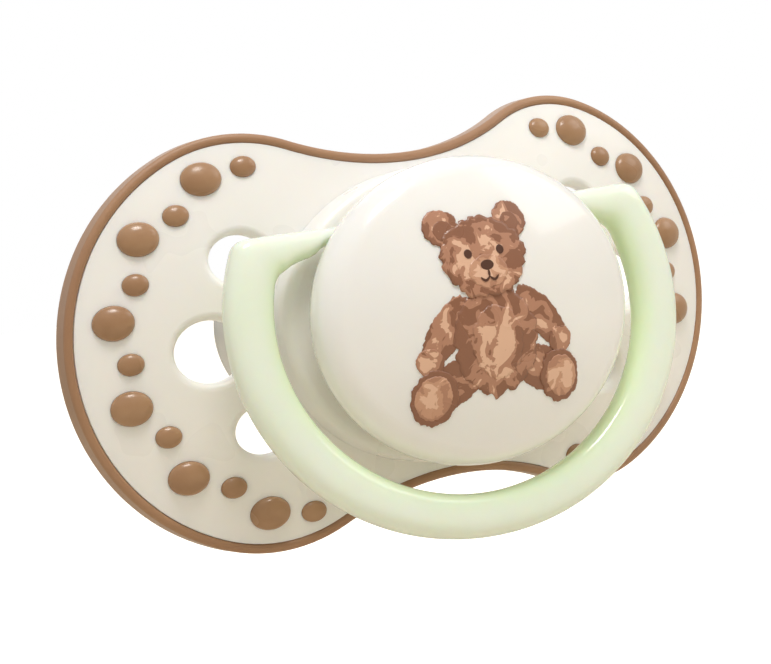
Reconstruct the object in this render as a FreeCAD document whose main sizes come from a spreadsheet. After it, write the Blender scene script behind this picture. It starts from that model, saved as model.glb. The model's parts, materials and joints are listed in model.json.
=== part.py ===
import FreeCAD, Part
import math
import os
import Sketcher

# Pacifier: a butterfly shield with a soft rim and soft dots, a teat behind it,
# and in front a ring holder with a domed cap and a swinging ring handle.
# Origin: the middle of the shield's back face, where the teat leaves it.
# +X is the wearer's left, +Y runs along the teat, +Z is up. Millimetres.

os.makedirs("parts", exist_ok=True)
doc = FreeCAD.newDocument("Pacifier")
sizes = doc.addObject("Spreadsheet::Sheet", "Sizes")

driving_sizes = [
    # cap
    ("cap_width", 13.6), ("cap_height", 11.75), ("cap_dome", 4.5), ("cap_edge", 2.4),
    ("cap_setback", 1.5), ("cap_wall", 1.4), ("snap_gap", 0.05),
    # ring holder: collar, neck and the disc that the cap snaps on
    ("collar_side", 0.3), ("collar_under", 0.2), ("collar_thick", 1.3), ("collar_skirt", 1.6),
    ("collar_round", 0.8), ("neck_side", 2.0), ("neck_under", 1.95), ("neck_length", 2.3),
    ("disc_inset", 3.0), ("disc_thick", 1.8),
    # shield plate
    ("shield_thick", 1.6), ("bend_across", 89.0), ("bend_upright", 57.0),
    ("wing_tuck", 1.0), ("wing_radius", 16.4), ("lobe_trim", 0.3), ("shoulder_radius", 11.8),
    ("notch_radius", 22.65), ("blank_margin", 7.6), ("blank_sweep", 60.0), ("cutter_length", 60.0),
    # soft rim round the plate
    ("rim_width", 0.75), ("rim_proud", 0.2), ("rim_round", 0.33),
    # soft dots on the wings
    ("dot_shift", 0.2), ("dot_pitch", 29.4), ("dot_stretch", 0.85), ("dot_tuck", 1.35),
    ("large_dot_inset", 3.7), ("small_dot_inset", 4.8), ("end_dot_inset", 3.8),
    ("large_dot_width", 1.6), ("large_dot_height", 1.31), ("large_dot_dome", 0.75),
    ("small_dot_width", 1.02), ("small_dot_height", 0.83), ("small_dot_dome", 0.5),
    ("bond_gap", 0.02),
    # air vents
    ("vent_land", 2.0), ("vent_width", 2.7), ("vent_height", 2.35),
    ("side_vent_out", 1.35), ("side_vent_z", 6.5), ("side_vent_width", 2.3),
    ("side_vent_height", 1.9), ("vent_round", 0.6),
    # ring handle and its hinge
    ("hinge_drop", 4.6), ("hinge_rise", 1.4), ("ring_lean", 5.5),
    ("ring_side_room", 2.4), ("ring_low_room", 2.25), ("band_side", 4.0), ("band_bottom", 3.4),
    ("band_depth", 2.6), ("band_round", 1.15), ("top_cover", 0.05),
    ("pin_radius", 0.65), ("pin_gap", 0.05), ("pin_length", 6.1), ("pin_end_gap", 0.3),
    ("arm_inset", 0.2), ("arm_radius", 1.3),
    # teat and the plug that holds it
    ("teat_neck", 5.0), ("teat_wall", 1.2), ("teat_bulb", 8.0), ("bulb_place", 22.0),
    ("teat_curve", 9.0), ("flange_lip", 3.5), ("flange_thick", 1.2), ("seat_depth", 0.8),
    ("seat_gap", 0.1), ("teat_gap", 0.25), ("plug_lip", 1.0), ("plug_head_thick", 0.6),
    ("plug_reach", 6.0),
]
for row, (name, value) in enumerate(driving_sizes, start=1):
    sizes.set(f"A{row}", name)
    sizes.set(f"B{row}", str(value))
    sizes.setAlias(f"B{row}", name)
doc.recompute()

# Sums of the sizes above; a name after a minus is taken away
collar_width = ["cap_width", "collar_side"]
collar_height = ["cap_height", "-collar_under"]
neck_width = ["cap_width", "-neck_side"]
neck_height = ["cap_height", "-neck_under"]
disc_width = ["cap_width", "-disc_inset"]
collar_front = ["shield_thick", "collar_thick"]
neck_front = collar_front + ["neck_length"]
disc_front = neck_front + ["disc_thick"]
wing_centre = collar_width + ["-wing_tuck"]
lobe_height = ["wing_radius", "-lobe_trim"]
blank_top = ["wing_radius", "blank_margin"]
vent_x = collar_width + ["vent_land", "vent_width"]
side_vent_x = collar_width + ["side_vent_out"]
ring_inner_width = ["cap_width", "ring_side_room"]
ring_inner_height = ["cap_height", "ring_low_room"]
hinge_height = ["cap_height", "-hinge_drop"]
hinge_depth = collar_front + ["hinge_rise"]
ring_top = hinge_height + ["pin_radius", "top_cover"]
pin_end = neck_width + ["-pin_length"]
arm_finish = ring_inner_width + ["-arm_inset"]
flange_radius = ["teat_neck", "flange_lip"]
flange_seat_front = ["shield_thick", "-seat_depth"]
flange_front = flange_seat_front + ["flange_thick"]
head_back = flange_front + ["seat_gap"]
head_front = head_back + ["plug_head_thick"]
plug_head_radius = ["teat_neck", "plug_lip"]

facing_front = FreeCAD.Rotation(FreeCAD.Vector(1, 0, 0), 90)
widest_round = 0.45  # share of a wall that the rounding of one edge may take


def size(*names):
    """Sum of named sizes, as a number."""
    return sum(-float(getattr(sizes, n[1:])) if n[0] == "-" else float(getattr(sizes, n)) for n in names)


def formula(names):
    """The same sum, as an expression that the sheet drives."""
    return "".join("-Sizes." + n[1:] if n[0] == "-" else "+Sizes." + n for n in names).lstrip("+")


def bind(thing, **formulas):
    for prop, formula in formulas.items():
        thing.setExpression(prop.replace("__", "."), formula)


def place_at(thing, x="0", y="0", z="0", turn=facing_front):
    thing.Placement = FreeCAD.Placement(FreeCAD.Vector(0, 0, 0), turn)
    bind(thing, Placement__Base__x=x, Placement__Base__y=y, Placement__Base__z=z)


def oval_prism(name, width, height, back, front, x="0", z="0"):
    """Oval prism between two depths, each given as a distance in front of the origin."""
    face = doc.addObject("Part::Ellipse", name + "_oval")
    bind(face, MajorRadius=width, MinorRadius=height)
    place_at(face, x=x, y=f"-({back})", z=z)
    prism = doc.addObject("Part::Extrusion", name)
    prism.Base = face
    prism.DirMode = "Custom"
    prism.Dir = (0, -1, 0)
    prism.Solid = True
    bind(prism, LengthFwd=f"({front})-({back})")
    return prism


def round_prism(name, radius, back, front):
    """Round prism between two depths in front of the origin."""
    prism = doc.addObject("Part::Cylinder", name)
    bind(prism, Radius=radius, Height=f"({front})-({back})")
    place_at(prism, y=f"-({back})")
    return prism


def ellipsoid(name, width, depth, height):
    body = doc.addObject("Part::Ellipsoid", name)
    bind(body, Radius1=height, Radius2=width, Radius3=depth)
    return body


def cut(name, base, *tools):
    """Base with every tool taken away."""
    result = doc.addObject("Part::Cut", name)
    result.Base = base
    result.Tool = tools[0] if len(tools) == 1 else fuse(name + "_tools", *tools)
    return result


def fuse(name, *pieces):
    result = doc.addObject("Part::MultiFuse", name)
    result.Shapes = list(pieces)
    return result


def common(name, *pieces):
    result = doc.addObject("Part::MultiCommon", name)
    result.Shapes = list(pieces)
    return result


def group(name, pieces):
    """Separate solids kept apart in one node."""
    result = doc.addObject("Part::Compound", name)
    result.Links = list(pieces)
    return result


def rounded(name, base, radius, wanted):
    """Base with the chosen edges rounded."""
    doc.recompute()
    numbers = [n for n, edge in enumerate(base.Shape.Edges, start=1) if wanted(edge)]
    result = doc.addObject("Part::Fillet", name)
    result.Base = base
    result.Edges = [(n, radius, radius) for n in numbers]
    return result


def body_sketch(name, plane_role):
    body = doc.addObject("PartDesign::Body", name)
    sketch = body.newObject("Sketcher::SketchObject", name + "_sketch")
    plane = [p for p in body.Origin.OriginFeatures if p.Role == plane_role][0]
    sketch.AttachmentSupport = [(plane, "")]
    sketch.MapMode = "FlatFace"
    return body, sketch


def arc(x, y, radius, start, end):
    circle = Part.Circle(FreeCAD.Vector(x, y, 0), FreeCAD.Vector(0, 0, 1), radius)
    return Part.ArcOfCircle(circle, start, end)


def line(x1, y1, x2, y2):
    return Part.LineSegment(FreeCAD.Vector(x1, y1, 0), FreeCAD.Vector(x2, y2, 0))


def closed(edge):
    return len(edge.Vertexes) == 1


def constrain(sketch, kind, *values, driven_by=None):
    index = sketch.addConstraint(Sketcher.Constraint(kind, *values))
    if driven_by:
        sketch.setExpression(f"Constraints[{index}]", driven_by)


start_point, end_point, centre_point = 1, 2, 3
across_axis, upright_axis = -1, -2


def curved_blank(name, *proud):
    """Doubly bent slab of the plate's own bends, thicker by a size, if given, on both faces."""
    body, sketch = body_sketch(name, "YZ_Plane")
    outer, inner = size("bend_upright", *proud), size("bend_upright", "-shield_thick") - size(*proud)
    middle = size("bend_upright", "-shield_thick")
    top = size(*blank_top)
    outer_turn, inner_turn = math.asin(top / outer), math.asin(top / inner)
    front = sketch.addGeometry(arc(middle, 0, outer, math.pi - outer_turn, math.pi + outer_turn))
    back = sketch.addGeometry(arc(middle, 0, inner, math.pi - inner_turn, math.pi + inner_turn))
    x_out, x_in = middle - outer * math.cos(outer_turn), middle - inner * math.cos(inner_turn)
    upper = sketch.addGeometry(line(x_out, top, x_in, top))
    lower = sketch.addGeometry(line(x_out, -top, x_in, -top))
    axis_x = size("bend_across", "-shield_thick")
    axis = sketch.addGeometry(line(axis_x, 0, axis_x, top), True)
    constrain(sketch, "Coincident", front, start_point, upper, start_point)
    constrain(sketch, "Coincident", back, start_point, upper, end_point)
    constrain(sketch, "Coincident", front, end_point, lower, start_point)
    constrain(sketch, "Coincident", back, end_point, lower, end_point)
    constrain(sketch, "Coincident", front, centre_point, back, centre_point)
    constrain(sketch, "PointOnObject", front, centre_point, across_axis)
    constrain(sketch, "Horizontal", upper)
    constrain(sketch, "Horizontal", lower)
    constrain(sketch, "DistanceX", front, centre_point, middle,
              driven_by="Sizes.bend_upright-Sizes.shield_thick")
    shrink = ["-" + p for p in proud]
    constrain(sketch, "Radius", front, outer, driven_by=formula(["bend_upright", *proud]))
    constrain(sketch, "Radius", back, inner, driven_by=formula(["bend_upright", "-shield_thick", *shrink]))
    constrain(sketch, "DistanceY", front, start_point, top, driven_by=formula(blank_top))
    constrain(sketch, "DistanceY", front, end_point, -top, driven_by=f"-({formula(blank_top)})")
    constrain(sketch, "Vertical", axis)
    constrain(sketch, "PointOnObject", axis, start_point, across_axis)
    constrain(sketch, "DistanceX", axis, start_point, axis_x,
              driven_by="Sizes.bend_across-Sizes.shield_thick")
    constrain(sketch, "DistanceY", axis, end_point, top, driven_by=formula(blank_top))
    turn = body.newObject("PartDesign::Revolution", name + "_turn")
    turn.Profile = sketch
    turn.ReferenceAxis = (sketch, ["Axis0"])
    turn.Midplane = True
    bind(turn, Angle="Sizes.blank_sweep")
    return body


def butterfly(name, *inset):
    """Prism on the butterfly outline of wing, shoulder and notch arcs, moved in by a size if given."""
    body, sketch = body_sketch(name, "XZ_Plane")
    drop = size(*inset)
    less = ["-" + i for i in inset]
    wing_x, wing, shoulder = size(*wing_centre), size("wing_radius"), size("shoulder_radius")
    notch, half = size("notch_radius"), math.pi
    shoulder_z = size(*lobe_height) - shoulder
    wing_turn = math.asin(shoulder_z / (wing - shoulder))
    shoulder_x = wing_x + (wing - shoulder) * math.cos(wing_turn)
    notch_z = shoulder_z + math.sqrt((shoulder + notch) ** 2 - shoulder_x ** 2)
    notch_turn = math.atan2(notch_z - shoulder_z, -shoulder_x)
    for piece in [
        arc(wing_x, 0, wing - drop, -wing_turn, wing_turn),
        arc(shoulder_x, shoulder_z, shoulder - drop, wing_turn, notch_turn),
        arc(0, notch_z, notch + drop, -notch_turn, notch_turn - half),
        arc(-shoulder_x, shoulder_z, shoulder - drop, half - notch_turn, half - wing_turn),
        arc(-wing_x, 0, wing - drop, half - wing_turn, half + wing_turn),
        arc(-shoulder_x, -shoulder_z, shoulder - drop, half + wing_turn, half + notch_turn),
        arc(0, -notch_z, notch + drop, half - notch_turn, notch_turn),
        arc(shoulder_x, -shoulder_z, shoulder - drop, -notch_turn, -wing_turn),
    ]:
        sketch.addGeometry(piece)
    (right_wing, right_top, top_notch, left_top, left_wing, left_bottom,
     bottom_notch, right_bottom) = range(8)
    for one, one_end, two, two_end in [
        (right_wing, end_point, right_top, start_point),
        (right_top, end_point, top_notch, end_point),
        (top_notch, start_point, left_top, start_point),
        (left_top, end_point, left_wing, start_point),
        (left_wing, end_point, left_bottom, start_point),
        (left_bottom, end_point, bottom_notch, end_point),
        (bottom_notch, start_point, right_bottom, start_point),
        (right_bottom, end_point, right_wing, start_point),
    ]:
        constrain(sketch, "Tangent", one, one_end, two, two_end)
    for wing_arc, side in [(right_wing, 1), (left_wing, -1)]:
        constrain(sketch, "Radius", wing_arc, wing - drop, driven_by=formula(["wing_radius", *less]))
        constrain(sketch, "PointOnObject", wing_arc, centre_point, across_axis)
        constrain(sketch, "DistanceX", wing_arc, centre_point, side * wing_x,
                  driven_by=f"{side}*({formula(wing_centre)})")
    for shoulder_arc in [right_top, left_top, left_bottom, right_bottom]:
        constrain(sketch, "Radius", shoulder_arc, shoulder - drop,
                  driven_by=formula(["shoulder_radius", *less]))
    for notch_arc in [top_notch, bottom_notch]:
        constrain(sketch, "Radius", notch_arc, notch + drop, driven_by=formula(["notch_radius", *inset]))
        constrain(sketch, "PointOnObject", notch_arc, centre_point, upright_axis)
    for shoulder_arc, side in [(right_top, 1), (right_bottom, -1)]:
        constrain(sketch, "DistanceY", shoulder_arc, centre_point, side * shoulder_z,
                  driven_by=f"{side}*({formula(lobe_height)}-Sizes.shoulder_radius)")
    pad = body.newObject("PartDesign::Pad", name + "_pad")
    pad.Profile = sketch
    pad.SideType = "Symmetric"
    bind(pad, Length="Sizes.cutter_length")
    return body


def front_depth(x, z):
    """How far the bent front face lies behind its middle."""
    across, upright = size("bend_across"), size("bend_upright")
    lean_back = upright - math.sqrt(upright ** 2 - z ** 2)
    turn_radius = across - lean_back
    return lean_back + turn_radius - math.sqrt(turn_radius ** 2 - x ** 2)


def dot(name, kind, x, z, extra):
    """Lens-shaped soft dot seated half in the plate, square to its front face."""
    lens = ellipsoid(name, f"Sizes.{kind}_dot_width{extra}", f"Sizes.{kind}_dot_dome{extra}",
                     f"Sizes.{kind}_dot_height{extra}")
    turn_out = FreeCAD.Rotation(FreeCAD.Vector(0, 0, 1), math.degrees(math.asin(x / size("bend_across"))))
    tip_up = FreeCAD.Rotation(FreeCAD.Vector(1, 0, 0), -math.degrees(math.asin(z / size("bend_upright"))))
    lens.Placement = FreeCAD.Placement(
        FreeCAD.Vector(x, front_depth(x, z) - size("shield_thick"), z), turn_out * tip_up)
    return lens


def dot_places(kind, side):
    """Places of one wing's dots: one pitch apart on a ring that widens towards its top and bottom,
    with the lower half drawn in towards the middle."""
    pitch = size("dot_pitch")
    large_ring, small_ring, end_ring = (size("wing_radius", f"-{dots}_dot_inset")
                                        for dots in ("large", "small", "end"))
    if kind == "large":
        spots = [(step * pitch / 2, large_ring) for step in (-5, -3, -1, 1, 3, 5)]
    else:
        spots = [(step * pitch, small_ring) for step in (-2, -1, 0, 1, 2)]
        spots += [(step * pitch, end_ring) for step in (-3, 3)]
    places = []
    for turn, ring in spots:
        angle = math.radians(turn)
        reach = ring + size("dot_stretch") * math.sin(angle) ** 2
        centre = size(*wing_centre, "dot_shift")
        tuck = size("dot_tuck") * max(0.0, -math.sin(angle))
        places.append((side * (centre + reach * math.cos(angle) - tuck), reach * math.sin(angle)))
    return places


# Shield plate: the bent slab inside the butterfly outline, with its vents and seats
plate_blank = curved_blank("plate_blank")
plate_outline = butterfly("plate_outline", "rim_width")
plate = common("plate", plate_blank, plate_outline)

through_back, through_front = "-Sizes.cutter_length/2", "Sizes.cutter_length/2"
vents = []
for column in (1, -1):
    vents.append(oval_prism(f"middle_vent_{column}", "Sizes.vent_width", "Sizes.vent_height",
                            through_back, through_front, x=f"{column}*({formula(vent_x)})"))
    for level in (1, -1):
        vents.append(oval_prism(f"side_vent_{column}_{level}", "Sizes.side_vent_width",
                                "Sizes.side_vent_height", through_back, through_front,
                                x=f"{column}*({formula(side_vent_x)})", z=f"{level}*Sizes.side_vent_z"))
plate_with_vents = cut("plate_with_vents", plate, *vents)
vent_rounding = min(size("vent_round"), widest_round * size("shield_thick"))
plate_rounded = rounded("plate_rounded", plate_with_vents, vent_rounding, closed)
neck_hole = round_prism("neck_hole", "Sizes.teat_neck+Sizes.teat_gap", through_back, through_front)
flange_seat = round_prism("flange_seat", formula(flange_radius + ["teat_gap"]),
                          formula(flange_seat_front), through_front)
dot_seats, dot_nodes = [], []
for side_name, side in (("left", 1), ("right", -1)):
    for kind in ("large", "small"):
        places = dot_places(kind, side)
        dot_nodes.append(group(f"{side_name}_{kind}_dots", [
            dot(f"{side_name}_{kind}_dot_{n}", kind, x, z, extra="") for n, (x, z) in enumerate(places)]))
        dot_seats += [dot(f"{side_name}_{kind}_seat_{n}", kind, x, z, extra="+Sizes.bond_gap")
                      for n, (x, z) in enumerate(places)]
shield = cut("shield", plate_rounded, neck_hole, flange_seat, *dot_seats)

# Soft rim moulded round the plate's edge, a little proud of both faces
rim_blank = curved_blank("rim_blank", "rim_proud")
rim_outline = butterfly("rim_outline")
rim_solid = common("rim_solid", rim_blank, rim_outline)
rim_sharp = cut("rim_sharp", rim_solid, plate_outline)
rim_rounding = min(size("rim_round"), widest_round * size("rim_width"))
shield_rim = rounded("shield_rim", rim_sharp, rim_rounding, lambda edge: True)

# Ring holder: collar on the plate, neck with the hinge bores, disc inside the cap
collar_sharp = oval_prism("collar_sharp", formula(collar_width), formula(collar_height),
                          "Sizes.shield_thick-Sizes.collar_skirt", formula(collar_front))
collar = rounded("collar", collar_sharp, size("collar_round"),
                 lambda edge: closed(edge) and edge.BoundBox.YMax < -size("shield_thick"))
neck = oval_prism("neck", formula(neck_width), formula(neck_height), "Sizes.shield_thick",
                  formula(neck_front))
disc = oval_prism("disc", formula(disc_width), f"({formula(disc_width)})*Sizes.cap_height/Sizes.cap_width",
                  formula(neck_front), formula(disc_front))
holder_solid = fuse("holder_solid", collar, neck, disc)
flange_room = round_prism("flange_room", formula(flange_radius + ["teat_gap"]), through_back,
                          formula(head_back))
head_room = round_prism("head_room", formula(plug_head_radius + ["seat_gap"]), through_back,
                        formula(head_front + ["seat_gap"]))
bores = []
for side_name, side in (("left", 1), ("right", -1)):
    bore = doc.addObject("Part::Cylinder", f"{side_name}_bore")
    bind(bore, Radius="Sizes.pin_radius+Sizes.pin_gap", Height=formula(collar_width))
    place_at(bore, x=f"{side}*({formula(pin_end)}-Sizes.pin_end_gap)", y=f"-({formula(hinge_depth)})",
             z=formula(hinge_height), turn=FreeCAD.Rotation(FreeCAD.Vector(0, 1, 0), 90 * side))
    bores.append(bore)
ring_holder = cut("ring_holder", holder_solid, plate_blank, flange_room, head_room, *bores)


def round_cap():
    """Cap turned round its axis: back rim, rolled edge, crown, and a hollow open at the back."""
    body, sketch = body_sketch("round_cap", "YZ_Plane")
    width, edge, dome, wall = size("cap_width"), size("cap_edge"), size("cap_dome"), size("cap_wall")
    mouth = size(*disc_width, "snap_gap")
    back_x = -size(*neck_front)
    middle_x = back_x - size("cap_setback")
    edge_r = width - edge
    crown = (edge_r ** 2 + dome ** 2 - edge ** 2) / (2 * (dome - edge))
    crown_x = middle_x - dome + crown
    meet = math.atan2(edge_r, middle_x - crown_x)
    edge_start = math.asin(size("cap_setback") / edge)
    inner_meet = math.pi - math.asin(mouth / (crown - wall))
    inner_x = crown_x + (crown - wall) * math.cos(inner_meet)
    geometry = [
        arc(middle_x, edge_r, edge, math.pi / 2 - edge_start, meet),
        arc(crown_x, 0, crown, meet, math.pi),
        line(crown_x - crown, 0, crown_x - crown + wall, 0),
        arc(crown_x, 0, crown - wall, inner_meet, math.pi),
        line(inner_x, mouth, back_x, mouth),
        line(back_x, mouth, back_x, edge_r + edge * math.cos(edge_start)),
    ]
    for piece in geometry:
        sketch.addGeometry(piece)
    rolled_edge, crown_arc, axis_wall, hollow_arc, mouth_line, back_rim = range(len(geometry))
    for one, one_end, two, two_end in [
        (crown_arc, end_point, axis_wall, start_point), (axis_wall, end_point, hollow_arc, end_point),
        (hollow_arc, start_point, mouth_line, start_point), (mouth_line, end_point, back_rim, start_point),
        (back_rim, end_point, rolled_edge, start_point), (crown_arc, centre_point, hollow_arc, centre_point),
    ]:
        constrain(sketch, "Coincident", one, one_end, two, two_end)
    constrain(sketch, "Tangent", rolled_edge, end_point, crown_arc, start_point)
    constrain(sketch, "PointOnObject", crown_arc, centre_point, across_axis)
    constrain(sketch, "PointOnObject", crown_arc, end_point, across_axis)
    constrain(sketch, "Horizontal", axis_wall)
    constrain(sketch, "Horizontal", mouth_line)
    constrain(sketch, "Vertical", back_rim)
    constrain(sketch, "Radius", rolled_edge, edge, driven_by="Sizes.cap_edge")
    constrain(sketch, "DistanceX", axis_wall, start_point, axis_wall, end_point, wall,
              driven_by="Sizes.cap_wall")
    constrain(sketch, "DistanceX", rolled_edge, centre_point, middle_x,
              driven_by=f"-({formula(neck_front + ['cap_setback'])})")
    constrain(sketch, "DistanceY", rolled_edge, centre_point, edge_r,
              driven_by="Sizes.cap_width-Sizes.cap_edge")
    constrain(sketch, "DistanceX", crown_arc, end_point, crown_x - crown,
              driven_by=f"-({formula(neck_front + ['cap_setback', 'cap_dome'])})")
    constrain(sketch, "DistanceX", back_rim, start_point, back_x, driven_by=f"-({formula(neck_front)})")
    constrain(sketch, "DistanceY", mouth_line, end_point, mouth,
              driven_by=formula(disc_width + ["snap_gap"]))
    turn = body.newObject("PartDesign::Revolution", "round_cap_turn")
    turn.Profile = sketch
    turn.ReferenceAxis = (sketch, ["H_Axis"])
    turn.Angle = 360
    return body


# Cap: the turned cap made oval, so that it snaps over the holder's oval disc
knob_cap = doc.addObject("Part::Scale", "knob_cap")
knob_cap.Base = round_cap()
knob_cap.Uniform = False
bind(knob_cap, ZScale="Sizes.cap_height/Sizes.cap_width")

# Ring handle: flat-topped oval band, arms that narrow to the hinge, and the hinge pins
band_back = f"{formula(hinge_depth)}-Sizes.band_depth/2"
band_front = f"{formula(hinge_depth)}+Sizes.band_depth/2"
band_outside = oval_prism("band_outside", formula(ring_inner_width + ["band_side"]),
                          formula(ring_inner_height + ["band_bottom"]), band_back, band_front)
band_inside = oval_prism("band_inside", formula(ring_inner_width), formula(ring_inner_height),
                         band_back, band_front)
band_sharp = cut("band_sharp", band_outside, band_inside)
band_rounding = min(size("band_round"), widest_round * size("band_depth"))
band = rounded("band", band_sharp, band_rounding, closed)
above_ring = doc.addObject("Part::Box", "above_ring")
bind(above_ring, Length="2*Sizes.cutter_length", Width="Sizes.cutter_length", Height="Sizes.cutter_length")
place_at(above_ring, x="-Sizes.cutter_length", y="-Sizes.cutter_length/2", z=formula(ring_top),
         turn=FreeCAD.Rotation())
open_band = cut("open_band", band, above_ring)
arms = []
for side_name, side in (("left", 1), ("right", -1)):
    sideways = FreeCAD.Rotation(FreeCAD.Vector(0, 1, 0), 90 * side)
    arm = doc.addObject("Part::Cone", f"{side_name}_arm")
    bind(arm, Radius1="Sizes.pin_radius", Radius2="Sizes.arm_radius",
         Height=f"{formula(arm_finish)}-({formula(neck_width)})")
    pin = doc.addObject("Part::Cylinder", f"{side_name}_pin")
    bind(pin, Radius="Sizes.pin_radius", Height=f"{formula(neck_width)}-({formula(pin_end)})")
    for piece, start in ((arm, neck_width), (pin, pin_end)):
        place_at(piece, x=f"{side}*({formula(start)})", y=f"-({formula(hinge_depth)})",
                 z=formula(hinge_height), turn=sideways)
        arms.append(piece)
arms_below_top = cut("arms_below_top", fuse("both_arms", *arms), above_ring)
ring_handle = fuse("ring_handle", open_band, arms_below_top)
ring_handle.Placement = FreeCAD.Placement(
    FreeCAD.Vector(0, 0, 0), FreeCAD.Rotation(FreeCAD.Vector(1, 0, 0), -size("ring_lean")),
    FreeCAD.Vector(0, -size(*hinge_depth), size(*hinge_height)))


def teat_body():
    """Hollow teat turned about its own axis: flange, neck, waist and bulb in one wall."""
    body, sketch = body_sketch("teat", "YZ_Plane")
    neck_r, wall, bulb, curve = map(size, ("teat_neck", "teat_wall", "teat_bulb", "teat_curve"))
    flange, bulb_y = size(*flange_radius), size("bulb_place")
    back_y, front_y = -size(*flange_seat_front), -size(*flange_front)
    curve_r = neck_r + curve
    curve_y = bulb_y - math.sqrt((bulb + curve) ** 2 - curve_r ** 2)
    meet = math.atan2(curve_r, curve_y - bulb_y)
    geometry = [
        line(front_y, neck_r - wall, front_y, flange),
        line(front_y, flange, back_y, flange),
        line(back_y, flange, back_y, neck_r),
        line(back_y, neck_r, curve_y, neck_r),
        arc(curve_y, curve_r, curve, -math.pi / 2, meet - math.pi),
        arc(bulb_y, 0, bulb, 0, meet),
        line(bulb_y + bulb, 0, bulb_y + bulb - wall, 0),
        arc(bulb_y, 0, bulb - wall, 0, meet),
        arc(curve_y, curve_r, curve + wall, -math.pi / 2, meet - math.pi),
        line(curve_y, neck_r - wall, front_y, neck_r - wall),
    ]
    for piece in geometry:
        sketch.addGeometry(piece)
    (flange_face, flange_edge, flange_back, neck_line, waist, bulb_outside, tip, bulb_inside,
     waist_inside, neck_inside) = range(len(geometry))
    for one, one_end, two, two_end in [
        (flange_face, end_point, flange_edge, start_point),
        (flange_edge, end_point, flange_back, start_point),
        (flange_back, end_point, neck_line, start_point),
        (bulb_outside, start_point, tip, start_point),
        (tip, end_point, bulb_inside, start_point),
        (neck_inside, end_point, flange_face, start_point),
    ]:
        constrain(sketch, "Coincident", one, one_end, two, two_end)
    for one, one_end, two, two_end in [
        (neck_line, end_point, waist, start_point),
        (waist, end_point, bulb_outside, end_point),
        (bulb_inside, end_point, waist_inside, end_point),
        (waist_inside, start_point, neck_inside, start_point),
    ]:
        constrain(sketch, "Tangent", one, one_end, two, two_end)
    for upright in (flange_face, flange_back):
        constrain(sketch, "Vertical", upright)
    for level in (flange_edge, neck_line, tip, neck_inside):
        constrain(sketch, "Horizontal", level)
    constrain(sketch, "Coincident", waist, centre_point, waist_inside, centre_point)
    constrain(sketch, "Coincident", bulb_outside, centre_point, bulb_inside, centre_point)
    constrain(sketch, "PointOnObject", bulb_outside, centre_point, across_axis)
    constrain(sketch, "PointOnObject", bulb_outside, start_point, across_axis)
    constrain(sketch, "Radius", bulb_outside, bulb, driven_by="Sizes.teat_bulb")
    constrain(sketch, "Radius", waist, curve, driven_by="Sizes.teat_curve")
    constrain(sketch, "Radius", bulb_inside, bulb - wall, driven_by="Sizes.teat_bulb-Sizes.teat_wall")
    constrain(sketch, "DistanceY", neck_line, start_point, neck_r, driven_by="Sizes.teat_neck")
    constrain(sketch, "DistanceY", flange_face, end_point, flange, driven_by=formula(flange_radius))
    constrain(sketch, "DistanceX", flange_back, start_point, back_y,
              driven_by=f"-({formula(flange_seat_front)})")
    constrain(sketch, "DistanceX", flange_face, start_point, front_y, driven_by=f"-({formula(flange_front)})")
    constrain(sketch, "DistanceX", bulb_outside, centre_point, bulb_y, driven_by="Sizes.bulb_place")
    turn = body.newObject("PartDesign::Revolution", "teat_turn")
    turn.Profile = sketch
    turn.ReferenceAxis = (sketch, ["H_Axis"])
    turn.Angle = 360
    return body


# Teat, and the plug pushed into its neck from the front
teat = teat_body()
plug_head = round_prism("plug_head", formula(plug_head_radius), formula(head_back), formula(head_front))
plug_stem = round_prism("plug_stem", "Sizes.teat_neck-Sizes.teat_wall-Sizes.seat_gap",
                        formula(head_back + ["-plug_reach"]), formula(head_back))
teat_plug = fuse("teat_plug", plug_head, plug_stem)

nodes = [shield, shield_rim, *dot_nodes, ring_holder, knob_cap, ring_handle, teat, teat_plug]
for node in nodes:
    node.Label = node.Name
doc.recompute()

for thing in doc.Objects:
    if "Invalid" in thing.State or "Error" in thing.State:
        raise RuntimeError(f"{thing.Name} did not build: {thing.State}")
for node in nodes:
    if node.Shape.isNull() or not node.Shape.isValid() or not node.Shape.Solids:
        raise RuntimeError(f"{node.Label} has no sound solid")
for node in nodes:
    node.Shape.exportStep(f"parts/{node.Label}.step")
    box = node.Shape.optimalBoundingBox()
    print(f"{node.Label}: {len(node.Shape.Solids)} solids, {node.Shape.Volume:.1f} mm3, x {box.XMin:.1f} "
          f"{box.XMax:.1f}, y {box.YMin:.1f} {box.YMax:.1f}, z {box.ZMin:.1f} {box.ZMax:.1f}")
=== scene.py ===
import bpy
import json
import math
from mathutils import Matrix, Vector, noise


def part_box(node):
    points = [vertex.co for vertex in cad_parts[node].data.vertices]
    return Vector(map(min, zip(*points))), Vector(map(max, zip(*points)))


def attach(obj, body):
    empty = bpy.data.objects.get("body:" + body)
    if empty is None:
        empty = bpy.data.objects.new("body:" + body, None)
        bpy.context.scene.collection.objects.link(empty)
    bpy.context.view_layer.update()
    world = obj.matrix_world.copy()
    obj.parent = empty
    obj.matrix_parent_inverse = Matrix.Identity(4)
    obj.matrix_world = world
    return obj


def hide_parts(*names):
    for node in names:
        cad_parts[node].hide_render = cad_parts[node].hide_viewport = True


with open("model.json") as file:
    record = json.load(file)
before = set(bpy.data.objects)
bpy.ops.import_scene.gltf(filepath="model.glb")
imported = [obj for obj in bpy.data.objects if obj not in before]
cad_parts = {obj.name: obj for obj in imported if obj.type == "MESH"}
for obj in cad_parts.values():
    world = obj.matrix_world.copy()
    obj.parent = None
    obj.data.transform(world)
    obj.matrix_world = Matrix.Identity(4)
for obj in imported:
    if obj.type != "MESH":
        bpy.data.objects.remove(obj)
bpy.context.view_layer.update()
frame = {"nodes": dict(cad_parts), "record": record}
mm = 0.001
capLow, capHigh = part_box("knob_cap")
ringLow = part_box("ring_handle")[0]
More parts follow.
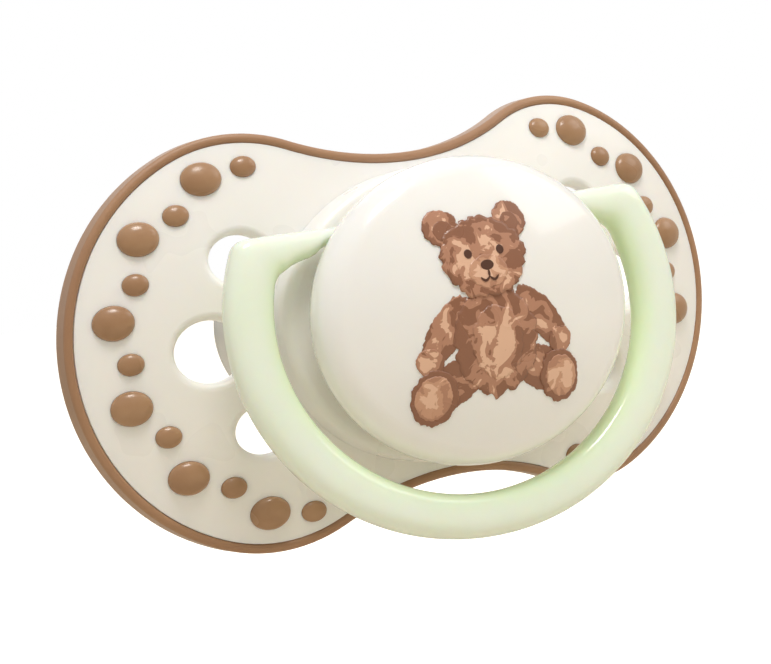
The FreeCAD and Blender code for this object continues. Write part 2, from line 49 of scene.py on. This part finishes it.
hinge = Vector(frame["record"]["behaviour"]["joints"][0]["pos_m"])
print("frame loaded")

# Camera: seen from the wearer's right, a little above, with the wings tipped up to the right
camera = {"azimuth": -28.5, "elevation": 2.4, "roll": -8.8, "distance": 165 * mm, "focalShare": 2.777,
          "sensor": 36, "target": (-5.0 * mm, -1.6 * mm, -0.72 * mm), "shiftX": 0.0006}


def makeCamera(spec):
    azimuth, elevation, roll = (math.radians(spec[k]) for k in ("azimuth", "elevation", "roll"))
    back = Vector((math.sin(azimuth) * math.cos(elevation), -math.cos(azimuth) * math.cos(elevation),
                   math.sin(elevation)))
    right = Vector((math.cos(azimuth), math.sin(azimuth), 0))
    up = back.cross(right)
    tilted = right * math.cos(roll) + up * math.sin(roll)
    upright = up * math.cos(roll) - right * math.sin(roll)
    data = bpy.data.cameras.new("productCamera")
    data.sensor_width = spec["sensor"]
    data.lens = spec["focalShare"] * spec["sensor"]
    data.shift_x = spec["shiftX"]
    data.clip_start = 5 * mm
    obj = bpy.data.objects.new("productCamera", data)
    bpy.context.collection.objects.link(obj)
    turn = Matrix((tilted, upright, back)).transposed().to_4x4()
    obj.matrix_world = Matrix.Translation(Vector(spec["target"]) + back * spec["distance"]) @ turn
    bpy.context.scene.camera = obj


makeCamera(camera)
print("camera placed")


# Shared effects: each is a group with named sockets, placed in the materials with its own values
def effectGroup(name, inputs, outputs):
    group = bpy.data.node_groups.new(name, "ShaderNodeTree")
    for label, kind, value in inputs:
        socket = group.interface.new_socket(name=label, in_out="INPUT", socket_type="NodeSocket" + kind)
        socket.default_value = value
    for label, kind in outputs:
        group.interface.new_socket(name=label, in_out="OUTPUT", socket_type="NodeSocket" + kind)
    return group, group.nodes.new("NodeGroupInput"), group.nodes.new("NodeGroupOutput")


# links gives a socket either a value or another node's output
def addNode(tree, kind, links=None, **settings):
    node = tree.nodes.new("ShaderNode" + kind)
    for key, value in settings.items():
        setattr(node, key, value)
    for socket, value in (links or {}).items():
        if isinstance(value, bpy.types.NodeSocket):
            tree.links.new(value, node.inputs[socket])
        else:
            node.inputs[socket].default_value = value
    return node


def colorOut(mixNode):
    return next(o for o in mixNode.outputs if o.type == "RGBA")


# Range that a noise texture mostly keeps to
noiseSpread = (0.3, 0.7)


# Slow change of tone over a moulded surface, with a fine speckle for the grain
def makeToneDrift():
    group, start, end = effectGroup("toneDrift", [
        ("Light", "Color", (1, 1, 1, 1)), ("Deep", "Color", (0.5, 0.5, 0.5, 1)),
        ("Patch Scale", "Float", 120.0), ("Speckle Scale", "Float", 3000.0), ("Speckle", "Float", 0.1)],
        [("Color", "Color"), ("Mask", "Float")])
    place = addNode(group, "TexCoord")
    patch = addNode(group, "TexNoise", {"Vector": place.outputs["Object"],
                                        "Scale": start.outputs["Patch Scale"], "Detail": 3.0})
    speckle = addNode(group, "TexNoise", {"Vector": place.outputs["Object"],
                                          "Scale": start.outputs["Speckle Scale"], "Detail": 2.0})
    spread = addNode(group, "MapRange", {"Value": patch.outputs["Fac"], "From Min": noiseSpread[0],
                                         "From Max": noiseSpread[1]})
    fine = addNode(group, "Math", {0: speckle.outputs["Fac"], 1: start.outputs["Speckle"]},
                   operation="MULTIPLY")
    mask = addNode(group, "Math", {0: spread.outputs["Result"], 1: fine.outputs[0]},
                   operation="ADD", use_clamp=True)
    mix = addNode(group, "Mix", {"Factor": mask.outputs[0], "A": start.outputs["Light"],
                                 "B": start.outputs["Deep"]}, data_type="RGBA")
    for socket, source in (("Color", colorOut(mix)), ("Mask", mask.outputs[0])):
        group.links.new(source, end.inputs[socket])
    return group


# Height of a moulding tool's fine grain, and the roughness that goes with it
def makeMouldGrain():
    group, start, end = effectGroup("mouldGrain", [
        ("Grain Scale", "Float", 4000.0), ("Wave Scale", "Float", 200.0), ("Wave Share", "Float", 0.3),
        ("Rough Low", "Float", 0.2), ("Rough High", "Float", 0.3)],
        [("Height", "Float"), ("Roughness", "Float")])
    place = addNode(group, "TexCoord")
    grain = addNode(group, "TexNoise", {"Vector": place.outputs["Object"],
                                        "Scale": start.outputs["Grain Scale"], "Detail": 2.0})
    wave = addNode(group, "TexNoise", {"Vector": place.outputs["Object"],
                                       "Scale": start.outputs["Wave Scale"], "Detail": 1.0})
    lifted = addNode(group, "Math", {0: wave.outputs["Fac"], 1: start.outputs["Wave Share"]},
                     operation="MULTIPLY")
    height = addNode(group, "Math", {0: grain.outputs["Fac"], 1: lifted.outputs[0]}, operation="ADD")
    rough = addNode(group, "MapRange", {"Value": wave.outputs["Fac"], "From Min": noiseSpread[0],
                                        "From Max": noiseSpread[1], "To Min": start.outputs["Rough Low"],
                                        "To Max": start.outputs["Rough High"]})
    group.links.new(height.outputs[0], end.inputs["Height"])
    group.links.new(rough.outputs["Result"], end.inputs["Roughness"])
    return group


toneDrift, mouldGrain = makeToneDrift(), makeMouldGrain()

# Finishes: colours are linear light, patch and grain are noise scales per metre, and depth is the
# grain's height in millimetres
finishes = {
    "creamPlastic": {"light": (0.925, 0.905, 0.87), "deep": (0.905, 0.88, 0.835), "patch": 60.0,
                     "rough": (0.26, 0.34), "grain": 5000.0, "depth": 0.004,
                     "shader": {"Subsurface Weight": 0.25, "IOR": 1.49}},
    "capPlastic": {"light": (0.945, 0.93, 0.905), "deep": (0.925, 0.905, 0.87), "patch": 50.0,
                   "rough": (0.14, 0.2), "grain": 3000.0, "depth": 0.002,
                   "shader": {"Subsurface Weight": 0.2, "Coat Weight": 0.5}},
    "softRim": {"light": (0.42, 0.235, 0.125), "deep": (0.35, 0.185, 0.095), "patch": 90.0,
                "rough": (0.38, 0.48), "grain": 6000.0, "depth": 0.008,
                "shader": {"Subsurface Weight": 0.1, "Sheen Weight": 0.15}},
    "softDots": {"light": (0.43, 0.25, 0.132), "deep": (0.35, 0.19, 0.095), "patch": 350.0,
                 "rough": (0.2, 0.3), "grain": 6000.0, "depth": 0.006,
                 "shader": {"Subsurface Weight": 0.1, "Sheen Weight": 0.1}},
    "plugPlastic": {"light": (0.84, 0.82, 0.76), "deep": (0.76, 0.73, 0.66), "patch": 150.0,
                    "rough": (0.3, 0.42), "grain": 5000.0, "depth": 0.006,
                    "shader": {"Subsurface Weight": 0.1}},
}
# "inner" is the deeper green painted on the band's inner wall as shade
glowFinish = {"light": (0.87, 0.95, 0.83), "deep": (0.84, 0.94, 0.77), "inner": (0.74, 0.9, 0.57),
              "patch": 110.0, "rough": (0.1, 0.16), "grain": 2500.0, "depth": 0.003,
              "shader": {"Subsurface Weight": 0.5, "Coat Weight": 0.4, "Coat Roughness": 0.06}}
siliconeFinish = {"light": (0.98, 0.965, 0.92), "deep": (0.96, 0.94, 0.88), "patch": 80.0,
                  "rough": (0.1, 0.2), "grain": 3500.0, "depth": 0.006,
                  "shader": {"Transmission Weight": 0.5, "IOR": 1.41}}
# Grain height in millimetres that the bump gives at full strength
fullGrain = 0.02
scatter = {"Subsurface Radius": (1.2 * mm, 0.9 * mm, 0.6 * mm), "Subsurface Scale": 1.0}


def newMaterial(name):
    material = bpy.data.materials.new(name)
    material.use_nodes = True
    return material, material.node_tree, material.node_tree.nodes["Principled BSDF"]


def fillShader(shader, values):
    for socket, value in values.items():
        shader.inputs[socket].default_value = value


def surfaceEffects(tree, shader, spec):
    tone = addNode(tree, "Group", node_tree=toneDrift)
    tone.inputs["Light"].default_value = (*spec["light"], 1)
    tone.inputs["Deep"].default_value = (*spec["deep"], 1)
    tone.inputs["Patch Scale"].default_value = spec["patch"]
    grain = addNode(tree, "Group", node_tree=mouldGrain)
    grain.inputs["Grain Scale"].default_value = spec["grain"]
    grain.inputs["Rough Low"].default_value, grain.inputs["Rough High"].default_value = spec["rough"]
    bump = addNode(tree, "Bump", {"Height": grain.outputs["Height"], "Strength": spec["depth"] / fullGrain,
                                  "Distance": fullGrain * mm})
    tree.links.new(grain.outputs["Roughness"], shader.inputs["Roughness"])
    tree.links.new(bump.outputs["Normal"], shader.inputs["Normal"])
    return tone


def plasticMaterial(name):
    spec = finishes[name]
    material, tree, shader = newMaterial(name)
    tone = surfaceEffects(tree, shader, spec)
    tree.links.new(tone.outputs["Color"], shader.inputs["Base Color"])
    fillShader(shader, {**scatter, **spec["shader"]})
    return material


# The ring's plastic stores light and is pale green; painted shade makes the band's inner wall a deeper green
def glowMaterial():
    material, tree, shader = newMaterial("glowPlastic")
    tone = surfaceEffects(tree, shader, glowFinish)
    # painted shade: the inner wall's mask mixes the colour towards the deeper green
    inside = addNode(tree, "Attribute", attribute_name="paintedInnerShade")
    mix = addNode(tree, "Mix", {"Factor": inside.outputs["Fac"], "A": tone.outputs["Color"],
                                "B": (*glowFinish["inner"], 1)}, data_type="RGBA")
    tree.links.new(colorOut(mix), shader.inputs["Base Color"])
    fillShader(shader, {**scatter, **glowFinish["shader"]})
    return material


def siliconeMaterial():
    material, tree, shader = newMaterial("clearSilicone")
    tone = surfaceEffects(tree, shader, siliconeFinish)
    tree.links.new(tone.outputs["Color"], shader.inputs["Base Color"])
    fillShader(shader, siliconeFinish["shader"])
    return material


materials = {name: plasticMaterial(name) for name in finishes}
materials["glowPlastic"], materials["clearSilicone"] = glowMaterial(), siliconeMaterial()

finishOfNode = {"shield": "creamPlastic", "shield_rim": "softRim", "ring_holder": "creamPlastic",
                "knob_cap": "capPlastic", "teat_plug": "plugPlastic", "ring_handle": "glowPlastic",
                "teat": "clearSilicone"}
for side in ("left", "right"):
    for kind in ("large", "small"):
        finishOfNode[f"{side}_{kind}_dots"] = "softDots"
for nodeName, finish in finishOfNode.items():
    for slot in frame["nodes"][nodeName].material_slots:
        slot.material = materials[finish]
print("finishes made")


def meshPiece(name, vertices, faces, material, body):
    mesh = bpy.data.meshes.new(name)
    mesh.from_pydata([tuple(v) for v in vertices], [], faces)
    mesh.validate()
    mesh.polygons.foreach_set("use_smooth", [True] * len(mesh.polygons))
    mesh.materials.append(material)
    piece = bpy.data.objects.new(name, mesh)
    bpy.context.collection.objects.link(piece)
    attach(piece, body)
    return piece


# Ring handle: sections spanned between an outer and an inner line, from pin to pin. Lengths are in
# millimetres before the ring is leaned about its hinge, and each arm section gives its distance
# from the middle and its reach above and below the hinge.
ring = {"outer": (19.85, 17.4), "inner": (16.0, 14.0), "depth": 1.3, "lean": -5.5, "pinRadius": 0.65,
        "arm": [(5.5, 0.65, 0.65), (7.9, 0.65, 0.65), (10.4, 0.65, 0.65), (10.9, 0.66, 0.8),
                (11.4, 0.67, 1.15), (12.0, 0.68, 1.35), (12.8, 0.7, 1.5), (13.6, 0.71, 1.75),
                (14.3, 0.72, 2.1)],
        "armStart": 10.4, "armSwell": 0.8, "topRise": 0.72, "innerCorner": (15.2, 4.75), "outerStart": 16.7,
        "outerEnd": 24.3, "innerEase": 5.0, "cornerDepth": 0.97, "squareness": 2.5, "innerShadeFade": 1.5,
        "cornerSteps": 14, "bandSteps": 128, "around": 48}
roundPower = 2


def ovalPoint(radii, degrees):
    return Vector((radii[0] * math.cos(math.radians(degrees)), radii[1] * math.sin(math.radians(degrees))))


# Pairs of outer and inner points for the right half, from the pin's end to the bottom of the band
def ringStations(spec):
    hingeZ = hinge.z / mm
    stations = []
    for x, up, down in spec["arm"]:
        armShare = max(0.0, (x - spec["armStart"]) / (spec["innerCorner"][0] - spec["armStart"]))
        depth = spec["pinRadius"] + (spec["depth"] - spec["pinRadius"]) * armShare ** spec["armSwell"]
        power = roundPower + armShare * (spec["squareness"] - roundPower)
        stations.append((Vector((x, hingeZ + up)), Vector((x, hingeZ - down)), depth, power))
    top = hingeZ + spec["topRise"]
    start = Vector((spec["outerStart"], top))
    corner = ovalPoint(spec["outer"], math.degrees(math.asin(top / spec["outer"][1])))
    finish = ovalPoint(spec["outer"], spec["outerEnd"])
    innerPoint = Vector(spec["innerCorner"])
    innerStart = math.degrees(math.asin(innerPoint.y / spec["inner"][1]))
    innerEdge = ovalPoint(spec["inner"], innerStart - spec["innerEase"])
    armEnd = Vector((spec["arm"][-1][0], hingeZ - spec["arm"][-1][2]))
    for step in range(spec["cornerSteps"] + 1):
        t = step / spec["cornerSteps"]
        outer = start * (1 - t) ** 2 + corner * 2 * t * (1 - t) + finish * t ** 2
        inner = armEnd * (1 - t) ** 2 + innerPoint * 2 * t * (1 - t) + innerEdge * t ** 2
        share = spec["cornerDepth"] + (1 - spec["cornerDepth"]) * t
        stations.append((outer, inner, spec["depth"] * share, spec["squareness"]))
    for step in range(1, spec["bandSteps"] + 1):
        t = step / spec["bandSteps"]
        outer = ovalPoint(spec["outer"], spec["outerEnd"] + (-90 - spec["outerEnd"]) * t)
        inner = ovalPoint(spec["inner"], (innerStart - spec["innerEase"]) * (1 - t) - 90 * t)
        stations.append((outer, inner, spec["depth"], spec["squareness"]))
    return stations


def makeRing(spec):
    half = ringStations(spec)
    mirrored = [(Vector((-o.x, o.y)), Vector((-i.x, i.y)), d, n) for o, i, d, n in reversed(half[:-1])]
    lean = Matrix.Rotation(math.radians(spec["lean"]), 4, "X")
    place = Matrix.Translation(hinge) @ lean @ Matrix.Translation((0, 0, -hinge.z))
    vertices, faces, paintedInnerShade = [], [], []
    for outer, inner, depth, power in half + mirrored:
        middle, reach = (outer + inner) / 2, (outer - inner) / 2
        for k in range(spec["around"]):
            angle = 2 * math.pi * k / spec["around"]
            c, s = math.cos(angle), math.sin(angle)
            across = math.copysign(abs(c) ** (roundPower / power), c)
            along = math.copysign(abs(s) ** (roundPower / power), s)
            spot = middle + reach * across
            vertices.append(place @ Vector((spot.x * mm, along * depth * mm, spot.y * mm)))
            # painted shade mask: full on the band's inner wall, fading to nothing on the outer side
            paintedInnerShade.append(max(0.0, -across) ** spec["innerShadeFade"])
    rows, n = len(half) + len(mirrored), spec["around"]
    for row in range(rows - 1):
        for k in range(n):
            a, b = row * n + k, row * n + (k + 1) % n
            faces.append((a, a + n, b + n, b))
    faces.append(tuple(range(n)))
    faces.append(tuple(reversed(range((rows - 1) * n, rows * n))))
    piece = meshPiece("ringBand", vertices, faces, materials["glowPlastic"], "ring")
    wall = piece.data.attributes.new("paintedInnerShade", "FLOAT", "POINT")
    wall.data.foreach_set("value", paintedInnerShade)
    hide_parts("ring_handle")


makeRing(ring)
print("ring handle made")

# Teat: turned about its own axis. Lengths are in millimetres behind the shield's back face.
teat = {"neck": 5.0, "bulb": 8.0, "bulbPlace": 22.0, "waist": 9.0, "wall": 1.2, "flange": 8.5,
        "flangeBack": -0.8, "flangeFront": -2.0, "flangeRound": 0.25, "cornerShare": 0.3,
        "beadPlace": 1.6, "beadRise": 0.18, "beadLength": 0.5, "segments": 96, "outsideSteps": 120,
        "insideSteps": 80}


def teatRadius(spec, y, outset):
    waistY = spec["bulbPlace"] - math.sqrt((spec["bulb"] + spec["waist"]) ** 2
                                           - (spec["neck"] + spec["waist"]) ** 2)
    meet = spec["bulbPlace"] - (spec["bulbPlace"] - waistY) * spec["bulb"] / (spec["bulb"] + spec["waist"])
    if y < waistY:
        bead = spec["beadRise"] * math.exp(-((y - spec["beadPlace"]) / spec["beadLength"]) ** 2)
        return spec["neck"] + outset + (bead if outset == 0 else 0)
    if y < meet:
        hollow = spec["waist"] - outset
        return spec["neck"] + spec["waist"] - math.sqrt(max(0, hollow ** 2 - (y - waistY) ** 2))
    return math.sqrt(max(0, (spec["bulb"] + outset) ** 2 - (y - spec["bulbPlace"]) ** 2))


def makeTeat(spec):
    tip = spec["bulbPlace"] + spec["bulb"]
    edge, ease = spec["flange"], spec["flangeRound"]
    corner = ease * spec["cornerShare"]
    profile = [(spec["flangeFront"], spec["neck"] - spec["wall"]), (spec["flangeFront"], edge - ease),
               (spec["flangeFront"] + corner, edge - corner), (spec["flangeFront"] + ease, edge),
               (spec["flangeBack"] - ease, edge), (spec["flangeBack"] - corner, edge - corner),
               (spec["flangeBack"], edge - ease), (spec["flangeBack"], spec["neck"])]
    span = tip - spec["flangeBack"]
    for step in range(1, spec["outsideSteps"]):
        y = spec["flangeBack"] + span * math.sin(math.pi / 2 * step / spec["outsideSteps"])
        profile.append((y, teatRadius(spec, y, 0)))
    profile.append((tip, 0))
    inside = [(tip - spec["wall"], 0)]
    depth = tip - spec["wall"] - spec["flangeFront"]
    for step in range(spec["insideSteps"] - 1, 0, -1):
        y = spec["flangeFront"] + depth * math.sin(math.pi / 2 * step / spec["insideSteps"])
        inside.append((y, teatRadius(spec, y, -spec["wall"])))
    vertices, faces, rows = [], [], []
    for y, r in profile + inside:
        if r == 0:
            rows.append([len(vertices)])
            vertices.append((0, y * mm, 0))
            continue
        rows.append(list(range(len(vertices), len(vertices) + spec["segments"])))
        for k in range(spec["segments"]):
            angle = 2 * math.pi * k / spec["segments"]
            vertices.append((r * math.cos(angle) * mm, y * mm, r * math.sin(angle) * mm))
    loops = rows + [rows[0]]
    for low, high in zip(loops, loops[1:]):
        if len(low) == 1 and len(high) == 1:
            continue
        for k in range(spec["segments"]):
            j = (k + 1) % spec["segments"]
            corners = [low[k % len(low)], high[k % len(high)], high[j % len(high)], low[j % len(low)]]
            faces.append(tuple(dict.fromkeys(corners)))
    piece = meshPiece("siliconeTeat", vertices, faces, materials["clearSilicone"], "soother")
    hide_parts("teat")


makeTeat(teat)
print("teat made")

# Print on the cap: a plain seated teddy of this script's own drawing, as thin coats of ink.
# Places and radii are in millimetres and turns in degrees. Each part of the teddy has its label, its
# ink, how dark it is, and its ovals as (x, z, half width, half height, turn).
crown = {"dome": 4.5, "edge": 2.4, "coat": 0.014, "sink": 0.02}
inks = {"furLight": (0.78, 0.48, 0.325), "furMid": (0.47, 0.23, 0.14), "furDark": (0.28, 0.12, 0.065),
        "pawLight": (0.8, 0.5, 0.345), "pawDeep": (0.6, 0.32, 0.2), "eyeInk": (0.09, 0.034, 0.018)}
bear = [
    ("leg", "fur", 0.62, [(4.15, -5.35, 2.9, 1.75, -24), (-4.15, -5.35, 2.9, 1.75, 24)]),
    ("arm", "fur", 0.5, [(4.3, -1.15, 1.4, 3.15, 40), (-4.3, -1.15, 1.4, 3.15, -40)]),
    ("trunk", "fur", 0.45, [(0, -2.5, 3.75, 4.35, 0)]),
    ("belly", "fur", 0.0, [(0, -2.6, 2.3, 2.9, 0)]),
    ("paw", "fur", 0.0, [(5.95, -3.35, 1.15, 1.05, 30), (-5.95, -3.35, 1.15, 1.05, -30)]),
    ("soleRing", "fur", 0.75, [(5.75, -6.15, 1.95, 2.15, 20), (-5.75, -6.15, 1.95, 2.15, -20)]),
    ("sole", "paw", 0.1, [(5.85, -6.2, 1.5, 1.7, 20), (-5.85, -6.2, 1.5, 1.7, -20)]),
    ("ear", "fur", 0.35, [(3.1, 6.75, 1.5, 1.45, 0), (-3.1, 6.75, 1.5, 1.45, 0)]),
    ("earInside", "fur", 1.0, [(3.0, 6.55, 0.85, 0.8, 0), (-3.0, 6.55, 0.85, 0.8, 0)]),
    ("head", "fur", 0.25, [(0, 4.15, 3.75, 3.2, 0)]),
    ("muzzle", "paw", 0.1, [(0, 2.95, 1.75, 1.3, 0)]),
    ("nose", "eye", 0.0, [(0, 3.45, 0.58, 0.4, 0)]),
    ("eye", "eye", 0.0, [(1.45, 4.5, 0.33, 0.36, 0), (-1.45, 4.5, 0.33, 0.36, 0)]),
]
drawing = {"scale": 0.95, "shift": (-0.8, 0.05), "points": 144, "rings": 14, "fray": 0.09,
           "frayScale": 1.9, "fineShare": 0.5, "fineScale": 3.1, "partSeed": 7, "spotSeed": 3,
           "markWidth": 0.1, "markSteps": 24, "tipStart": 0.8, "tipSpan": 0.6, "tipFade": 0.4}
mouth = {"lipTop": 3.05, "lipLength": 0.5, "smileSide": 0.8, "smileTop": 2.55, "smileDip": 0.3}
# The fur's flat tones: bands are where one tone ends and the next begins, and pull darkens the edge
fur = {"tuftScale": 620.0, "tuftDetail": 3.5, "tuftTwist": 0.9, "pullStart": 0.35, "pull": 0.16,
       "bands": (0.47, 0.49, 0.6, 0.615), "shadeShift": 0.22, "baseShift": -0.085, "rough": (0.24, 0.36)}
inkMaterials = {}


# Point on the cap's crown, lifted off it by so many millimetres
def onCrown(x, z, lift):
    width, height = capHigh.x / mm, capHigh.z / mm
    radius = ((width - crown["edge"]) ** 2 + crown["dome"] ** 2 - crown["edge"] ** 2) / (
        2 * (crown["dome"] - crown["edge"]))
    out = x * x + (z * width / height) ** 2
    return Vector((x * mm, capLow.y + (radius - math.sqrt(radius ** 2 - out) - lift) * mm, z * mm))


# Ink that falls into three flat tones of fur, darker towards the edge of each patch
def furMaterial(name, tones, shift):
    material, tree, shader = newMaterial(name)
    place = addNode(tree, "TexCoord")
    tuft = addNode(tree, "TexNoise", {"Vector": place.outputs["Object"], "Scale": fur["tuftScale"],
                                      "Detail": fur["tuftDetail"], "Distortion": fur["tuftTwist"]})
    edge = addNode(tree, "Attribute", attribute_name="inkEdge")
    pull = addNode(tree, "MapRange", {"Value": edge.outputs["Fac"], "From Min": fur["pullStart"],
                                      "From Max": 1.0, "To Min": 0.0, "To Max": fur["pull"]})
    depth = addNode(tree, "Math", {0: tuft.outputs["Fac"], 1: pull.outputs["Result"]}, operation="ADD")
    ramp = addNode(tree, "ValToRGB", {"Fac": depth.outputs[0]})
    lightEnd, midStart, midEnd, darkStart = (band - shift for band in fur["bands"])
    ramp.color_ramp.elements[0].position, ramp.color_ramp.elements[1].position = lightEnd, midStart
    ramp.color_ramp.elements[0].color = (*tones[0], 1)
    ramp.color_ramp.elements[1].color = (*tones[1], 1)
    for position, tone in ((midEnd, tones[1]), (darkStart, tones[2])):
        ramp.color_ramp.elements.new(position).color = (*tone, 1)
    grain = addNode(tree, "Group", node_tree=mouldGrain)
    grain.inputs["Rough Low"].default_value, grain.inputs["Rough High"].default_value = fur["rough"]
    tree.links.new(ramp.outputs["Color"], shader.inputs["Base Color"])
    tree.links.new(grain.outputs["Roughness"], shader.inputs["Roughness"])
    return material


def inkMaterial(kind, shade):
    key = f"{kind}Ink{int(shade * 100)}"
    if key not in inkMaterials:
        tones = {"fur": [inks["furLight"], inks["furMid"], inks["furDark"]],
                 "paw": [inks["pawLight"], inks["pawDeep"], inks["furMid"]],
                 "eye": [inks["eyeInk"]] * 3}[kind]
        inkMaterials[key] = furMaterial(key, tones, shade * fur["shadeShift"] + fur["baseShift"])
    return inkMaterials[key]


def inkPatch(name, outline, layer, material):
    points, rings = len(outline), drawing["rings"]
    middle = sum((Vector(p) for p in outline), Vector((0, 0))) / points
    vertices, edges = [onCrown(*middle, layer)], [0.0]
    for ringIndex in range(1, rings + 1):
        share = ringIndex / rings
        for p in outline:
            spot = middle.lerp(Vector(p), share)
            vertices.append(onCrown(*spot, layer))
            edges.append(share)
    for p in outline:
        vertices.append(onCrown(*p, -crown["sink"]))
        edges.append(1.0)
    faces = [(0, 1 + (k + 1) % points, 1 + k) for k in range(points)]
    for ringIndex in range(rings):
        start = 1 + ringIndex * points
        for k in range(points):
            j = (k + 1) % points
            faces.append((start + k, start + j, start + points + j, start + points + k))
    piece = meshPiece(name, vertices, faces, material, "soother")
    piece.data.attributes.new("inkEdge", "FLOAT", "POINT").data.foreach_set("value", edges)
    return piece


def drawn(x, z):
    return (x * drawing["scale"] + drawing["shift"][0], z * drawing["scale"] + drawing["shift"][1])


def frayedOval(x, z, across, up, turn, seed, fray):
    outline = []
    for k in range(drawing["points"]):
        angle = 2 * math.pi * k / drawing["points"]
        probe = Vector((x + across * math.cos(angle), z + up * math.sin(angle), seed)) * drawing["frayScale"]
        rough = 1 + fray * noise.noise(probe)
        rough += drawing["fineShare"] * fray * noise.noise(probe * drawing["fineScale"])
        spot = Vector((across * math.cos(angle), up * math.sin(angle))) * rough
        spot.rotate(Matrix.Rotation(math.radians(turn), 2))
        outline.append(drawn(x + spot.x, z + spot.y))
    return outline


def inkStroke(name, path, layer):
    left, right = [], []
    for k, p in enumerate(path):
        before, after = Vector(path[max(0, k - 1)]), Vector(path[min(len(path) - 1, k + 1)])
        side = (after - before).normalized().orthogonal() * drawing["markWidth"]
        along = (k + drawing["tipStart"]) / (len(path) + drawing["tipSpan"])
        fade = math.sin(math.pi * along) ** drawing["tipFade"]
        left.append(Vector(p) + side * fade)
        right.append(Vector(p) - side * fade)
    vertices = [onCrown(*p, layer) for p in left + right]
    n = len(path)
    faces = [(k, k + 1, n + k + 1, n + k) for k in range(n - 1)]
    piece = meshPiece(name, vertices, faces, inkMaterial("eye", 0.0), "soother")
    piece.data.attributes.new("inkEdge", "FLOAT", "POINT").data.foreach_set("value", [0.0] * len(vertices))


def makePrint():
    for order, (label, kind, shade, spots) in enumerate(bear):
        layer = crown["coat"] * (order + 1)
        fray = 0.0 if kind == "eye" else drawing["fray"]
        for n, (x, z, across, up, turn) in enumerate(spots):
            seed = order * drawing["partSeed"] + n * drawing["spotSeed"]
            outline = frayedOval(x, z, across, up, turn, seed, fray)
            inkPatch(f"{label}Print{n}", outline, layer, inkMaterial(kind, shade))
    top = crown["coat"] * (len(bear) + 1)
    steps = drawing["markSteps"]
    lip = [drawn(0, mouth["lipTop"] - mouth["lipLength"] * k / steps) for k in range(steps + 1)]
    inkStroke("lipLinePrint", lip, top)
    for n, side in enumerate((1, -1)):
        smile = [drawn(side * mouth["smileSide"] * k / steps,
                       mouth["smileTop"] - mouth["smileDip"] * math.sin(math.pi * k / steps))
                 for k in range(steps + 1)]
        inkStroke(f"smilePrint{n}", smile, top)


makePrint()
print("cap print made")

# Room: a pale floor, a white surround and soft lights
room = {"floorDrop": 12.7 * mm, "floorReach": 2.0, "floorColor": (0.68, 0.62, 0.5), "floorRough": 0.8,
        "floorGlow": 0.8, "skyAbove": (1, 1, 1), "skyBelow": (0.29, 0.25, 0.175), "skyStart": -0.45,
        "skyEnd": 0.75, "skyLevel": 0.72, "seenLevel": 1.0}
lamps = [
    {"name": "keyAbove", "place": (-0.02, -0.15, 0.34), "size": 0.12, "power": 0.72,
     "color": (1, 0.985, 0.96)},
    {"name": "fillRight", "place": (0.3, -0.14, 0.2), "size": 0.2, "power": 0.22,
     "color": (1, 0.99, 0.97)},
    {"name": "rimBehind", "place": (0.1, 0.3, 0.22), "size": 0.2, "power": 0.12, "color": (1, 1, 1)},
]


def makeWorld(spec):
    world = bpy.data.worlds.new("softRoom")
    world.use_nodes = True
    tree = world.node_tree
    place = addNode(tree, "TexCoord")
    split = addNode(tree, "SeparateXYZ", {"Vector": place.outputs["Generated"]})
    rise = addNode(tree, "MapRange", {"Value": split.outputs["Z"], "From Min": spec["skyStart"],
                                      "From Max": spec["skyEnd"]})
    tint = addNode(tree, "Mix", {"Factor": rise.outputs["Result"], "A": (*spec["skyBelow"], 1),
                                 "B": (*spec["skyAbove"], 1)}, data_type="RGBA")
    path = addNode(tree, "LightPath")
    surround = tree.nodes["Background"]
    tree.links.new(colorOut(tint), surround.inputs["Color"])
    surround.inputs["Strength"].default_value = spec["skyLevel"]
    seen = addNode(tree, "Background", {"Color": (1, 1, 1, 1), "Strength": spec["seenLevel"]})
    pick = addNode(tree, "MixShader", {0: path.outputs["Is Camera Ray"], 1: surround.outputs[0],
                                       2: seen.outputs[0]})
    tree.links.new(pick.outputs[0], tree.nodes["World Output"].inputs["Surface"])
    bpy.context.scene.world = world


def makeLamp(spec):
    data = bpy.data.lights.new(spec["name"], "AREA")
    data.size = spec["size"]
    data.energy = spec["power"]
    data.color = spec["color"]
    obj = bpy.data.objects.new(spec["name"], data)
    bpy.context.collection.objects.link(obj)
    obj.location = spec["place"]
    obj.rotation_euler = (-Vector(spec["place"])).to_track_quat("-Z", "Y").to_euler()


def makeFloor(spec):
    half, level = spec["floorReach"], ringLow.z - spec["floorDrop"]
    mesh = bpy.data.meshes.new("paleFloor")
    mesh.from_pydata([(-half, -half, level), (half, -half, level), (half, half, level), (-half, half, level)],
                     [], [(0, 1, 2, 3)])
    material, tree, shader = newMaterial("floorPaint")
    shader.inputs["Base Color"].default_value = (*spec["floorColor"], 1)
    shader.inputs["Roughness"].default_value = spec["floorRough"]
    shader.inputs["Emission Color"].default_value = (1, 1, 1, 1)
    path = addNode(tree, "LightPath")
    glow = addNode(tree, "Math", {0: path.outputs["Is Camera Ray"], 1: spec["floorGlow"]},
                   operation="MULTIPLY")
    tree.links.new(glow.outputs[0], shader.inputs["Emission Strength"])
    mesh.materials.append(material)
    obj = bpy.data.objects.new("paleFloor", mesh)
    bpy.context.collection.objects.link(obj)


makeWorld(room)
for lamp in lamps:
    makeLamp(lamp)
makeFloor(room)
# Plain tones, so that a finish shows in the colour it is given
bpy.context.scene.view_settings.view_transform = "Standard"
print("room made")
